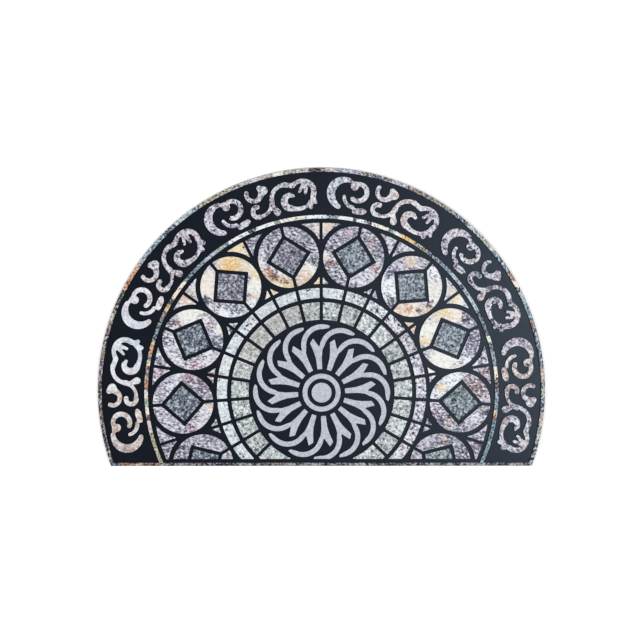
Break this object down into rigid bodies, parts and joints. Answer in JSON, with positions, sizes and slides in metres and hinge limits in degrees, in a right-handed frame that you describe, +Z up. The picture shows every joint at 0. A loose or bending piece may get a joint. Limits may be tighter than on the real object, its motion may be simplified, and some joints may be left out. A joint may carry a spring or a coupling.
{
  "type": "half-round rubber doormat",
  "caption": "Half-round doormat of moulded rubber, with raised flocked lands in a rosette, medallion and scroll pattern.",
  "frame": {"origin": "underside of the mat, under the middle of its outline's box", "axes": "+X along the straight edge, +Y from the straight edge towards the top of the arc, +Z up out of the patterned face"},
  "size_m": [0.902, 0.6, 0.007],
  "materials": {
    "rubber": "moulded black rubber, satin in the channels",
    "flock": "short flock printed as marble and granite, matt"
  },
  "bodies": {
    "root": {"mat": "rubber"}
  },
  "joints": []
}
